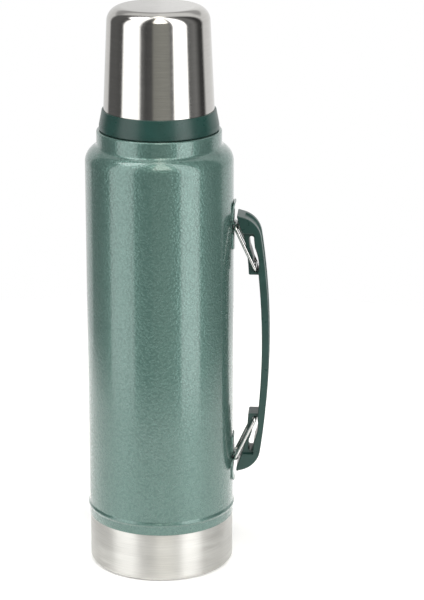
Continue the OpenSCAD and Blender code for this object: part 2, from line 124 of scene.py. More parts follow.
HANDLE_Z = (foot_of("grip") + top_of("grip")) / 2
GRIP_HALF = (top_of("grip") - foot_of("grip")) / 2
GRIP_W = 2 * cad_box("grip")[1].y
WIRE_R = 1.2
BAIL_HALF = cad_box("upper_bail")[1].y - WIRE_R
BAIL_L = 30.6
BAIL_FOLD = math.radians(25)
BAIL_OPEN = math.radians(65)
HINGE_X = cad_box("upper_bail")[0].x + WIRE_R
HINGE_V = top_of("upper_bail") - WIRE_R - HANDLE_Z
PULL = 17.0
PLATE_T = 0.9
PLATE_LOW, PLATE_HIGH = -15.0, 16.0
KNUCKLE_R = WIRE_R + 0.83
GRIP_CLEAR = 1.2


# ---------------------------------------------------------------- lines in a plane
def arc(centre, radius, start, end, steps=12):
    """Points along an arc, with angles in radians."""
    angles = [start + (end - start) * i / steps for i in range(steps + 1)]
    return [(centre[0] + radius * math.cos(a), centre[1] + radius * math.sin(a)) for a in angles]


def curve(a, pull, b, steps=10):
    """Points along a quadratic curve from a to b."""
    points = []
    for i in range(steps + 1):
        t = i / steps
        points.append(tuple(
            (1 - t) ** 2 * p + 2 * t * (1 - t) * q + t ** 2 * r for p, q, r in zip(a, pull, b)))
    return points


def toward(p, q, distance):
    """The point at that distance from p on the way to q."""
    d = math.dist(p, q)
    return tuple(u + (v - u) * distance / d for u, v in zip(p, q))


def eased(points, steps=5):
    """A closed outline from corners (x, y) or (x, y, radius): each radius rounds its corner."""
    out = []
    count = len(points)
    for i, point in enumerate(points):
        p = tuple(point[:2])
        radius = point[2] if len(point) > 2 else 0
        if not radius:
            out.append(p)
            continue
        a, b = points[i - 1][:2], points[(i + 1) % count][:2]
        to_a = Vector(a) - Vector(p)
        to_b = Vector(b) - Vector(p)
        angle = to_a.angle(to_b)
        if angle > math.pi - 0.01:
            out.append(p)
            continue
        reach = min([radius / math.tan(angle / 2)] + [
            side.length * (0.49 if len(corner) > 2 else 0.95)
            for side, corner in ((to_a, points[i - 1]), (to_b, points[(i + 1) % count]))])
        start, end = toward(p, a, reach), toward(p, b, reach)
        r = reach * math.tan(angle / 2)
        middle = (to_a.normalized() + to_b.normalized()).normalized()
        centre = Vector(p) + middle * math.hypot(reach, r)
        a0 = math.atan2(start[1] - centre.y, start[0] - centre.x)
        a1 = math.atan2(end[1] - centre.y, end[0] - centre.x)
        if a1 - a0 > math.pi:
            a1 -= TURN
        if a0 - a1 > math.pi:
            a1 += TURN
        out += arc(centre, r, a0, a1, steps)
    return out


def fine(points, step):
    """The same line with points no further than step apart."""
    out = []
    for a, b in zip(points, points[1:]):
        count = max(1, math.ceil(math.dist(a, b) / step))
        out += [tuple(u + (v - u) * i / count for u, v in zip(a, b)) for i in range(count)]
    return out + [points[-1]]


def shoulder(r0, z0, big, neck, small, angle, inset):
    """An S-shaped shoulder: a round, then a hollow up to the neck."""
    return arc((r0 - big, z0), big - inset, 0, angle, 20) + arc(
        (neck + small, z0 + (big + small) * math.sin(angle)), small + inset,
        math.pi + angle, math.pi, 10)


# ---------------------------------------------------------------- meshes
def finish_mesh(name, bm, sharp=32):
    """The bmesh, in millimetres, as a smooth object with its sharp edges kept."""
    bmesh.ops.remove_doubles(bm, verts=bm.verts, dist=1e-5)
    bmesh.ops.recalc_face_normals(bm, faces=bm.faces)
    for v in bm.verts:
        v.co *= MM
    mesh = bpy.data.meshes.new(name)
    bm.to_mesh(mesh)
    bm.free()
    mesh.shade_smooth()
    mesh.set_sharp_from_angle(angle=math.radians(sharp))
    obj = bpy.data.objects.new(name, mesh)
    bpy.context.scene.collection.objects.link(obj)
    return obj


def lathe(name, outline, segments=192, relief=None):
    """A solid of revolution from a closed outline of (r, z). relief(r, z, angle) changes r."""
    bm = bmesh.new()
    rings = []
    for r, z in outline:
        if r < 1e-6:
            rings.append([bm.verts.new((0, 0, z))])
            continue
        ring = []
        for i in range(segments):
            angle = TURN * i / segments
            radius = relief(r, z, angle) if relief else r
            ring.append(bm.verts.new((radius * math.cos(angle), radius * math.sin(angle), z)))
        rings.append(ring)
    for low, high in zip(rings, rings[1:] + rings[:1]):
        if len(low) == 1 and len(high) == 1:
            continue
        for i in range(segments):
            j = (i + 1) % segments
            if len(low) == 1:
                bm.faces.new((low[0], high[j], high[i]))
            elif len(high) == 1:
                bm.faces.new((low[i], low[j], high[0]))
            else:
                bm.faces.new((low[i], low[j], high[j], high[i]))
    return finish_mesh(name, bm)


def skin(name, rings, closed=False, sharp=32):
    """A surface through rings of the same number of points, capped unless closed."""
    bm = bmesh.new()
    made = [[bm.verts.new(p) for p in ring] for ring in rings]
    count = len(made[0])
    pairs = list(zip(made, made[1:] + (made[:1] if closed else [])))
    for a, b in pairs:
        for i in range(count):
            j = (i + 1) % count
            bm.faces.new((a[i], a[j], b[j], b[i]))
    if not closed:
        caps = [bm.faces.new(made[0][::-1]), bm.faces.new(made[-1])]
        bm.normal_update()
        bmesh.ops.triangulate(bm, faces=caps, quad_method="BEAUTY", ngon_method="BEAUTY")
    return finish_mesh(name, bm, sharp)


def outward(loop):
    """The outward normal at each point of a closed counterclockwise loop."""
    normals = []
    for i, p in enumerate(loop):
        before = (Vector(p) - Vector(loop[i - 1])).normalized()
        after = (Vector(loop[(i + 1) % len(loop)]) - Vector(p)).normalized()
        n = Vector((before.y, -before.x)) + Vector((after.y, -after.x))
        n.normalize()
        n /= max(0.5, n.dot(Vector((after.y, -after.x))))
        normals.append(n)
    return normals


def slab(name, loop, half, edge, steps=5):
    """A plate with rounded edges: a loop of (x, v) seen from the side, 2 * half thick along Y."""
    area = sum(a[0] * b[1] - b[0] * a[1] for a, b in zip(loop, loop[1:] + loop[:1]))
    if area < 0:
        loop = loop[::-1]
    normals = outward(loop)
    layers = []
    for i in range(steps + 1):
        a = math.pi / 2 * i / steps
        layers.append((half - edge + edge * math.sin(a), edge * (1 - math.cos(a))))
    layers = [(-y, inset) for y, inset in layers[::-1]] + layers
    rings = []
    for y, inset in layers:
        rings.append([
            (p[0] - n.x * inset, y, HANDLE_Z + p[1] - n.y * inset) for p, n in zip(loop, normals)])
    return skin(name, rings)


def carve(target, tool, operation):
    """Joins the tool to the target or cuts it away, exactly, and deletes the tool."""
    modifier = target.modifiers.new("carve", "BOOLEAN")
    modifier.operation = operation
    modifier.solver = "EXACT"
    modifier.object = tool
    graph = bpy.context.evaluated_depsgraph_get()
    mesh = bpy.data.meshes.new_from_object(target.evaluated_get(graph))
    target.modifiers.clear()
    old = target.data
    target.data = mesh
    bpy.data.meshes.remove(old)
    bpy.data.objects.remove(tool)


def smooth_by_angle(obj, degrees):
    """Smooth shading with edges sharper than that kept, and normals that favour the big faces."""
    obj.data.shade_smooth()
    obj.data.set_sharp_from_angle(angle=math.radians(degrees))
    weighted = obj.modifiers.new("normals", "WEIGHTED_NORMAL")
    weighted.keep_sharp = True
    weighted.weight = 50


# ---------------------------------------------------------------- jacket and base
def bead_line():
    """The rolled bead above the paint edge, as a soft swelling of the wall."""
    steps = 16
    line = []
    for i in range(steps + 1):
        t = 2 * i / steps - 1
        line.append((BODY_R + BEAD_OUT * (1 + math.cos(math.pi * t)) / 2, BEAD_Z + BEAD_HALF * t))
    return line


def make_jacket():
    """The painted wall: its lower edge, bead, shoulder, neck and folded-in lip."""
    lip, hem = 1.2, 0.35
    outer = shoulder(BODY_R, SHOULDER_Z, SHOULDER_R, NECK_R, FILLET_R, SHOULDER_TURN, 0)
    inner = shoulder(BODY_R, SHOULDER_Z, SHOULDER_R, NECK_R, FILLET_R, SHOULDER_TURN, JACKET_T)
    edge = arc((BODY_R - hem, PAINT_Z + hem), hem, -math.pi / 2, 0, 5)
    top = arc((NECK_R - lip, JACKET_TOP - lip), lip, 0, math.pi / 2, 8)
    outline = edge + bead_line() + outer + top + [
        (NECK_TUBE_R, JACKET_TOP),
        (NECK_TUBE_R, JACKET_TOP - JACKET_T),
        (NECK_R - JACKET_T, JACKET_TOP - JACKET_T),
    ] + inner[::-1] + [(LAP_R, PAINT_Z)]
    return lathe("jacket", outline, 256)


def make_base():
    """The bare steel base: a lap inside the jacket, a rounded foot and a recess under it."""
    foot_round, foot_w = 3.5, 4.6
    foot_in = BAND_R - foot_round - foot_w
    sheet, recess, draft, hole, lap = 0.8, 3.4, 0.8, 2.5, 13.0
    inner_r = LAP_R - sheet
    outline = eased([
        (hole, recess),
        (foot_in - draft, recess, 0.4),
        (foot_in, 0, 0.9),
        (BAND_R, 0, foot_round),
        (BAND_R, PAINT_Z, 0.12),
        (LAP_R, PAINT_Z, 0.12),
        (LAP_R, PAINT_Z + lap),
        (inner_r, PAINT_Z + lap),
        (inner_r, sheet, foot_round),
        (foot_in + sheet, sheet),
        (foot_in + sheet - draft, recess + sheet),
        (hole, recess + sheet),
    ], 10)
    return lathe("base", outline, 256)


def make_bottom_disc():
    """The plastic disc under the base, with two moulded rings and a gate mark."""
    low, high = foot_of("bottom_cover"), top_of("bottom_cover")
    r = radius_of("bottom_cover")
    ring, depth = 1.6, 0.35
    corners = [(0, low + depth), (2.2, low + depth, 0.2), (2.8, low, 0.2)]
    for rim in (r * 0.55, r * 0.82):
        corners += [
            (rim - ring, low, 0.2), (rim - ring + depth, low + depth, 0.2),
            (rim + ring - depth, low + depth, 0.2), (rim + ring, low, 0.2)]
    corners += [(r, low, 0.5), (r, high, 0.15), (0, high)]
    return lathe("bottom_disc", eased(corners), 160)


def make_seal_plug():
    """The plug that seals the base's pump-out hole: a head on a stem."""
    low, high = foot_of("seal_plug"), top_of("seal_plug")
    r, stem = radius_of("seal_plug"), 2.5
    head = high - 1.6
    return lathe("seal_button", eased([
        (0, low), (stem, low, 0.2), (stem, head), (r, head, 0.3), (r, high, 0.6), (0, high)]), 64)


def make_vessel():
    """The straight wall of the inner vessel."""
    low, high = cad_box("inner_vessel")
    r_in = VESSEL_R - VESSEL_T
    outline = eased([
        (r_in, low.z, 0.2), (VESSEL_R, low.z, 0.2), (VESSEL_R, high.z, 0), (r_in, high.z, 0)])
    return lathe("vessel_wall", outline, 192)


def make_vessel_neck():
    """The inner vessel's shoulder and throat, up to the rim."""
    mouth_out = MOUTH_R + VESSEL_T
    z0 = foot_of("vessel_neck")
    big, small = 14.0, 6.0
    angle = math.acos(1 - (VESSEL_R - mouth_out) / (big + small))
    outer = shoulder(VESSEL_R, z0, big, mouth_out, small, angle, 0)
    inner = shoulder(VESSEL_R, z0, big, mouth_out, small, angle, VESSEL_T)
    lip = eased([outer[-1], (mouth_out, RIM_Z), (MOUTH_R, RIM_Z, 0.3), inner[-1]])[1:-1]
    return lathe("vessel_throat", outer + lip + inner[::-1], 192)


def make_vessel_bottom():
    """The inner vessel's flat floor, with its rounded edge."""
    low, high = foot_of("vessel_bottom"), top_of("vessel_bottom")
    r = radius_of("vessel_bottom")
    corner = 6.0
    return lathe("vessel_floor", eased([
        (0, low), (r, low, corner), (r, high, 0.1), (r - VESSEL_T, high, 0.1),
        (r - VESSEL_T, low + VESSEL_T, corner - VESSEL_T), (0, low + VESSEL_T)], 12), 192)


def make_foil():
    """The radiation foil, slightly crinkled."""
    low, high = cad_box("foil_wrap")
    r_in, r_out = VESSEL_R, high.y
    outline = fine([(r_in, low.z), (r_out, low.z)], 1) + fine(
        [(r_out, low.z), (r_out, high.z)], 3)[1:] + [(r_in, high.z)]

    def crinkle(r, z, angle):
        if r < r_out - 0.01:
            return r
        wave = math.sin(7 * angle + z * 0.31) * math.sin(17 * angle - z * 0.53)
        return r - 0.06 * (1 + wave)

    return lathe("foil", outline, 160, crinkle)


def make_getter():
    low, high = foot_of("getter"), top_of("getter")
    r = radius_of("getter")
    return lathe("getter_pellet", eased([
        (0, low), (r, low, 0.5), (r, high, 0.3), (0, high)]), 64)


def thread(root, depth, first, turns, flank):
    """A relief for lathe(): one screw thread on a wall of radius root, faded out at both ends."""
    last = first + turns * PITCH

    def relief(r, z, angle):
        if abs(r - root) > 1e-4 or not first < z < last:
            return r
        along = (z - first) / PITCH - angle / TURN
        turn = round(along)
        off = abs(along - turn) * PITCH
        at = turn + angle / TURN
        fade = min(1, max(0, at - 0.35) * 6, max(0, turns - 0.35 - at) * 6)
        height = min(1, max(0, (flank - off) / (flank * 0.55)))
        height = height * height * (3 - 2 * height)
        return r + depth * fade * height

    return relief


def make_neck_ring():
    """The threaded neck, with a real screw thread where the CAD has plain rings."""
    low = foot_of("neck_ring")
    wall = 0.8
    inner = NECK_TUBE_R - wall
    steps = fine([(NECK_TUBE_R, low), (NECK_TUBE_R, RIM_Z - wall)], 0.25)
    outline = steps + arc((inner, RIM_Z - wall), wall, 0, math.pi / 2, 8)[1:] + [
        (MOUTH_R + VESSEL_T, RIM_Z), (MOUTH_R + VESSEL_T, RIM_Z - wall),
        (inner, RIM_Z - wall), (inner, low)]
    relief = thread(NECK_TUBE_R, THREAD_DEPTH, JACKET_TOP + 0.9, 3.4, 1.25)
    return lathe("threaded_neck", outline, 240, relief)


# ---------------------------------------------------------------- cup
def cup_line(depth):
    """The cup's surface that far inside its outer face, from the edge up to the axis."""
    corner_z = CUP_TOP - CUP_CORNER
    rise = corner_z + CUP_CORNER * math.sin(CUP_DRAFT) - COLLAR_TOP
    corner_r = CUP_R - rise * math.tan(CUP_DRAFT) - CUP_CORNER * math.cos(CUP_DRAFT)
    wall = (CUP_EDGE_R - depth / math.cos(CUP_DRAFT), SEAT_Z)
    bend = arc((corner_r, corner_z), CUP_CORNER - depth, CUP_DRAFT, math.pi / 2, 24)
    return [wall] + bend + [(0, CUP_TOP - depth)]


def make_cup_wall(name, depth):
    return lathe(name, cup_line(depth) + cup_line(depth + CUP_T)[::-1], 256)


def make_collar():
    """The cup's threaded collar, with a groove under it for the seal ring."""
    groove_in = COLLAR_BORE_R + 1.2
    groove_out = COLLAR_R - 2.7
    groove_z = COLLAR_Z + 1.9
    return lathe("collar", eased([
        (groove_out, COLLAR_Z, 0.15),
        (COLLAR_R, COLLAR_Z, 0.7),
        (COLLAR_R - 0.1, COLLAR_Z + 3, 4),
        (COLLAR_TOP_R, COLLAR_TOP, 0.45),
        (CUP_R, COLLAR_TOP, 0.12),
        (CUP_EDGE_R, SEAT_Z),
        (COLLAR_BORE_R, SEAT_Z, 0.3),
        (COLLAR_BORE_R, COLLAR_Z, 0.4),
        (groove_in, COLLAR_Z, 0.15),
        (groove_in, groove_z),
        (groove_out, groove_z),
    ], 8), 256)


def make_gasket(name, node, r_in):
    """A flat silicone ring with soft edges."""
    low, high = cad_box(node)
    return lathe(name, eased([
        (r_in, low.z, 0.35), (high.y, low.z, 0.35), (high.y, high.z, 0.35), (r_in, high.z, 0.35),
    ]), 192)


# ---------------------------------------------------------------- stopper
def make_plug():
    """The stopper's threaded plug, hollow, with a groove for the O-ring."""
    groove_z, seat, wall = PLUG_Z + 6, 1.25, 2.6
    top = top_of("stopper_body")
    outline = eased([
        (0, PLUG_Z + 0.8),
        (PLUG_R - 7, PLUG_Z + 0.8, 1),
        (PLUG_R - 6, PLUG_Z, 0.6),
        (PLUG_R, PLUG_Z, 1.6),
        (PLUG_R, groove_z - seat, 0.2),
        (PLUG_R - seat, groove_z - seat),
        (PLUG_R - seat, groove_z + seat),
        (PLUG_R, groove_z + seat, 0.2),
    ])
    outline += fine([(PLUG_R, groove_z + seat + 0.6), (PLUG_R, top)], 0.25) + [
        (PLUG_R - wall, top), (PLUG_R - wall, PLUG_Z + wall), (0, PLUG_Z + wall)]
    relief = thread(PLUG_R, PLUG_CREST_R - PLUG_R, groove_z + 5.2, 3.6, 1.4)
    return lathe("plug", outline, 240, relief)


def make_knob():
    """The stopper's flange and its scalloped knob with a shallow dish in the top."""
    socket_r, socket_z = PLUG_R + 0.05, FLANGE_Z + 2
    dish_r = KNOB_R - 6.5
    scallops, cut_r = 12, 3.0
    outline = eased([
        (0, socket_z), (socket_r, socket_z), (socket_r, FLANGE_Z, 0.2),
        (FLANGE_R, FLANGE_Z, 0.8), (FLANGE_R, KNOB_Z, 1.2), (KNOB_R, KNOB_Z, 0.7),
        (KNOB_R, KNOB_TOP, 1.6), (dish_r, KNOB_TOP, 0.6), (dish_r - 1, KNOB_TOP - 2, 1.0),
        (0, KNOB_TOP - 2)], 8)
    first = next(i for i, p in enumerate(outline) if p[0] <= KNOB_R + 1e-6 and p[1] > KNOB_Z)
    wall = fine([outline[first], (KNOB_R, KNOB_TOP - 1.7)], 0.6)
    outline = outline[:first] + wall + [p for p in outline[first + 1:] if p[1] > KNOB_TOP - 1.65
                                        or p[0] < dish_r + 1]

    def scallop(r, z, angle):
        if z < KNOB_Z + 0.05 or r < KNOB_R - 4:
            return r
        step = TURN / scallops
        off = abs((angle + step / 2) % step - step / 2) * KNOB_R
        depth = max(0, cut_r - cut_r / 2 - (cut_r - math.sqrt(max(0, cut_r ** 2 - off ** 2))))
        depth *= min(1, (z - KNOB_Z) / 1.2)
        share = min(1, (r - KNOB_R + 4) / 3)
        return r - depth * share

    return lathe("knob", outline, 288, scallop)


def make_foam():
    low, high = foot_of("stopper_core"), top_of("stopper_core")
    r = radius_of("stopper_core")
    return lathe("foam_fill", eased([(0, low), (r, low, 0.6), (r, high, 0.6), (0, high)]), 96)


def make_oring():
    cord_r = 1.2
    level = (foot_of("stopper_oring") + top_of("stopper_oring")) / 2
    centre = (radius_of("stopper_oring") - cord_r, level)
    return lathe("o_ring", arc(centre, cord_r, 0, TURN, 28)[:-1], 160)


# ---------------------------------------------------------------- handle
def bar_at(angle):
    """Where a bail's cross bar is in the grip's own side view, at that angle of the bail."""
    share = (angle - BAIL_FOLD) / (BAIL_OPEN - BAIL_FOLD)
    return (HINGE_X + BAIL_L * math.sin(angle) - PULL * share, HINGE_V - BAIL_L * math.cos(angle))


SLOT_HALF, SLOT_SPARE = WIRE_R + 0.45, 5.8
SLOT_FOOT = bar_at(BAIL_FOLD)
FACE_WALL, LEG_WALL, SHELF_WALL = 4.6, 2.9, 1.8
SHELF_V = SLOT_FOOT[1] - SLOT_HALF - SHELF_WALL
SLOT_END = HINGE_V - BAIL_L * math.cos(BAIL_OPEN) + SLOT_HALF + SLOT_SPARE
POCKET_TOP = SLOT_END + 2
BOW, BEND, STRAP_T = 484.0, 16.0, 4.7
TIP_X = BODY_R + PLATE_T + GRIP_CLEAR
TIP_SLOPE = math.radians(15.5)
BOW_X = SLOT_FOOT[0] + SLOT_HALF + FACE_WALL - math.sqrt(BOW ** 2 - SLOT_FOOT[1] ** 2)
BEND_TURN = math.pi / 2 - TIP_SLOPE
BEND_X0 = BOW_X + math.sqrt((BOW - BEND) ** 2 - (GRIP_HALF - BEND) ** 2)
BEND_V = GRIP_HALF - BEND * math.sin(BEND_TURN) - (
    BEND_X0 + BEND * math.cos(BEND_TURN) - TIP_X) * math.tan(TIP_SLOPE)
BOW_TURN = math.asin(BEND_V / (BOW - BEND))
BEND_X = BOW_X + (BOW - BEND) * math.cos(BOW_TURN)


def face_line(offset, turn=BEND_TURN):
    """The grip's outer face, moved out by offset, from the middle round one end."""
    return arc((BOW_X, 0), BOW + offset, 0, BOW_TURN, 22)[:-1] + arc(
        (BEND_X, BEND_V), BEND + offset, BOW_TURN, turn, 20)


def mirrored(line):
    """A line that starts at v = 0, led on from its mirror image below."""
    return [(x, -v) for x, v in line[:0:-1]] + line


def slot_edge(side):
    """The slot's edge on one side of its path."""
    steps = 14
    path = [bar_at(BAIL_FOLD + (BAIL_OPEN - BAIL_FOLD) * i / steps) for i in range(steps + 1)]
    path.append((path[-1][0] - 0.6, SLOT_END - SLOT_HALF))
    edge = []
    for i, p in enumerate(path):
        a, b = path[max(0, i - 1)], path[min(len(path) - 1, i + 1)]
        d = Vector((b[0] - a[0], b[1] - a[1])).normalized()
        edge.append((p[0] + side * SLOT_HALF * d.y, p[1] - side * SLOT_HALF * d.x))
    return edge


def leg_line():
    """The leg's face towards the jacket, from the tip down to the shelf's corner."""
    leg_x = SLOT_FOOT[0] - SLOT_HALF - LEG_WALL
    top = (HINGE_X + KNUCKLE_R + GRIP_CLEAR, HINGE_V - 1.1)
    return curve(top, (leg_x - 1, HINGE_V - 9.6), (leg_x, SHELF_V + 1.5), 16), (leg_x, SHELF_V)


def end_slope():
    """The end's straight top: where the bend ends, and the tip."""
    end = (BEND_X + BEND * math.cos(BEND_TURN), BEND_V + BEND * math.sin(BEND_TURN))
    return end, (TIP_X, end[1] + (end[0] - TIP_X) * math.tan(TIP_SLOPE))


def strap_outline():
    """The grip's full-width part: the strap, its end bends and tips, without the legs."""
    inner_r = BOW - STRAP_T
    strap_turn = math.asin((SHELF_V - 3) / inner_r)
    leg, _ = leg_line()
    end, tip = end_slope()
    above = [p for p in leg if p[1] > POCKET_TOP]
    below = leg[len(above)]
    share = (POCKET_TOP - below[1]) / (above[-1][1] - below[1])
    lip_x = below[0] + (above[-1][0] - below[0]) * share
    inside = [p for p in above if p[1] > POCKET_TOP + 1.6]
    pocket_x = slot_edge(1)[-1][0]
    tip_round = eased([end, tip + (0.65,), leg[0]], 8)[1:-1]
    ceiling = eased([inside[-1], (lip_x, POCKET_TOP, 1.1),
                     (pocket_x, POCKET_TOP, 1.0), slot_edge(1)[-1]], 5)[1:-1]
    strap = arc((BOW_X, 0), inner_r, strap_turn, 0, 16)
    half = face_line(0) + tip_round + inside + ceiling + slot_edge(1)[::-1] + strap
    return mirrored(half)[:-1]


def leg_outline():
    """One leg with its slot's rim: it ends inside the strap and inside the grip's end."""
    leg, foot = leg_line()
    edge_out, edge_in = slot_edge(1), slot_edge(-1)
    low, high = SLOT_FOOT, (
        (edge_out[-1][0] + edge_in[-1][0]) / 2, (edge_out[-1][1] + edge_in[-1][1]) / 2)
    turn = math.atan2(edge_out[-1][1] - high[1], edge_out[-1][0] - high[0])
    top = arc(high, SLOT_HALF, turn, turn + math.pi, 12)
    turn = math.atan2(edge_in[0][1] - low[1], edge_in[0][0] - low[0])
    bottom = arc(low, SLOT_HALF, turn, turn + math.pi, 12)
    deep = 2.4
    body = [p for p in leg if p[1] < POCKET_TOP + 1.2][::-1]
    corner = eased([body[0], foot + (1.0,), (edge_out[0][0] + deep, SHELF_V)], 5)[1:-1]
    return body + [
        (body[-1][0] + 1.5, POCKET_TOP + 2), (edge_out[-1][0] + 1, POCKET_TOP + 2),
        (edge_out[-1][0] + deep, POCKET_TOP), (edge_out[-1][0] + deep, edge_out[-1][1]),
    ] + top + edge_in[-2:0:-1] + bottom + [
        (edge_out[0][0] + deep, edge_out[0][1]), (edge_out[0][0] + deep, SHELF_V)] + corner[::-1]


def channel_tool():
    """What the channel down the grip's outer face removes, with soft edges."""
    turn = BEND_TURN - math.radians(4)
    half, depth = 5.0, 1.0
    levels = [(half - 0.45, -depth), (half - 0.12, -depth + 0.25), (half, -depth + 0.7),
              (half + 0.1, -0.25), (half + 0.45, 0.02), (half + 0.45, 1.5)]
    section = levels + [(-y, d) for y, d in levels[::-1]]
    lines = [mirrored(face_line(d, turn)) for _, d in section]
    rings = []
    for k in range(len(lines[0])):
        rings.append([(line[k][0], y, HANDLE_Z + line[k][1])
                      for (y, _), line in zip(section, lines)])
    return skin("channel_tool", rings)


def make_grip():
    """The grip: its strap, the two slotted legs joined on, and the channel down its face."""
    grip = slab("grip_strap", strap_outline(), GRIP_W / 2, 0.6)
    leg_half = BAIL_HALF - WIRE_R - 0.55
    upper = leg_outline()
    for loop in (upper, [(x, -v) for x, v in upper]):
        carve(grip, slab("leg_tool", loop, leg_half, 0.4, 3), "UNION")
    carve(grip, channel_tool(), "DIFFERENCE")
    smooth_by_angle(grip, 38)
    return grip


def make_bail(name, side):
    """A closed loop of wire, folded down on the jacket. side is 1 for the upper bail."""
    bend, sections = 2.5, 20
    line = []
    corners = [(BAIL_L - bend, BAIL_HALF - bend, 0), (bend, BAIL_HALF - bend, 90),
               (bend, bend - BAIL_HALF, 180), (BAIL_L - bend, bend - BAIL_HALF, 270)]
    for x, y, start in corners:
        a = math.radians(start)
        line += arc((x, y), bend, a, a + math.pi / 2, 10)
    line = fine(line + line[:1], 2.0)[:-1]
    along = Vector((math.sin(BAIL_FOLD), 0, -side * math.cos(BAIL_FOLD)))
    hinge = Vector((HINGE_X, 0, HANDLE_Z + side * HINGE_V))
    across = Vector((0, 1, 0))
    up = along.cross(across)
    rings = []
    for i, p in enumerate(line):
        a, b = line[i - 1], line[(i + 1) % len(line)]
        tangent = (along * (b[0] - a[0]) + across * (b[1] - a[1])).normalized()
        out = tangent.cross(up)
        centre = hinge + along * p[0] + across * p[1]
        turns = [TURN * k / sections for k in range(sections)]
        rings.append([centre + (out * math.cos(t) + up * math.sin(t)) * WIRE_R for t in turns])
    return skin(name, rings, closed=True)


def bracket_line():
    """The bracket's sheet in side view, upwards: matched points of its inner and outer face."""
    sheet, curl, bore, hump = PLATE_T, 0.7, WIRE_R + 0.08, KNUCKLE_R
    middle = HINGE_X - BODY_R
    levels = [PLATE_LOW + s for s in (0, 0.25, 1.2, 2.5, 4.0, 6.0, 8.0, 9.5, 10.6)]
    pairs = [((0, v), (sheet, v)) for v in levels]
    foot = hump + 1.1
    pairs += [((0, -bore - 0.9), (sheet, -foot)), ((0, -bore - 0.45), (sheet + 0.12, -foot + 0.45)),
              ((0, -bore - 0.15), (sheet + 0.42, -foot + 0.85)),
              ((0.1, -bore), (sheet * 0.5 + middle * 0.62, -hump * 0.98))]
    for i in range(13):
        a = math.pi * i / 12
        pairs.append(((middle + bore * math.sin(a), -bore * math.cos(a)),
                      (middle + hump * math.sin(a), -hump * math.cos(a))))
    pairs += [((p[0], -p[1]), (q[0], -q[1])) for p, q in pairs[12:8:-1]]
    for s in (5.0, 6.5, 8.5, 10.0, 11.0):
        pairs.append(((0, s), (sheet, s)))
    steps, curl_l = 8, 5
    for i in range(1, steps + 1):
        t = i / steps
        lift = curl * t ** 1.6
        lean = 0.22 * t
        v = PLATE_HIGH - curl_l + curl_l * t
        pairs.append(((lift, v), (lift + sheet * math.cos(lean), v - sheet * math.sin(lean))))
    return pairs


def bracket_half_width(v, hinge_half):
    """Half the sheet's width at that level: round ends, and notches beside the hinge."""
    half, round_r = 9.0, 4.0
    from_end = min(v - PLATE_LOW, PLATE_HIGH - v)
    if from_end < round_r:
        return half - round_r + math.sqrt(max(0, round_r ** 2 - (round_r - from_end) ** 2))
    notch, ease = 3.7, 0.8
    share = min(1, max(0, (abs(v) - notch) / ease))
    share = share * share * (3 - 2 * share)
    return hinge_half + (half - hinge_half) * share


def make_bracket(name, side):
    """A bracket of sheet metal, wrapped on the jacket, with a hump over the bail's hinge bar."""
    hinge_half = BAIL_HALF - 3.0
    edge, columns = 0.22, 12
    level = HANDLE_Z + side * HINGE_V
    rings = []
    for inner, outer in bracket_line():
        v = (inner[1] + outer[1]) / 2
        half = bracket_half_width(v, hinge_half)
        at_end = min(v - PLATE_LOW, PLATE_HIGH - v) < 0.05
        squeeze = 0.2 if at_end else 0
        on_hump = min(1, max(0, (outer[0] - PLATE_T) / 0.8)) if abs(v) < 4 else 0
        ring = []
        ys = [half * (2 * i / columns - 1) for i in range(columns + 1)]
        ys[0], ys[-1] = -half + edge, half - edge
        profile = [(y, 1 - squeeze) for y in ys] + [(half, 0.75), (half, 0.25)]
        profile += [(y, squeeze) for y in ys[::-1]] + [(-half, 0.25), (-half, 0.75)]
        for y, u in profile:
            drop = (BODY_R - math.sqrt(BODY_R ** 2 - y * y)) * (1 - on_hump)
            x = BODY_R + inner[0] + (outer[0] - inner[0]) * u - drop
            z = inner[1] + (outer[1] - inner[1]) * u
            ring.append((x, y, level + side * z))
        rings.append(ring)
    return skin(name, rings, sharp=50)


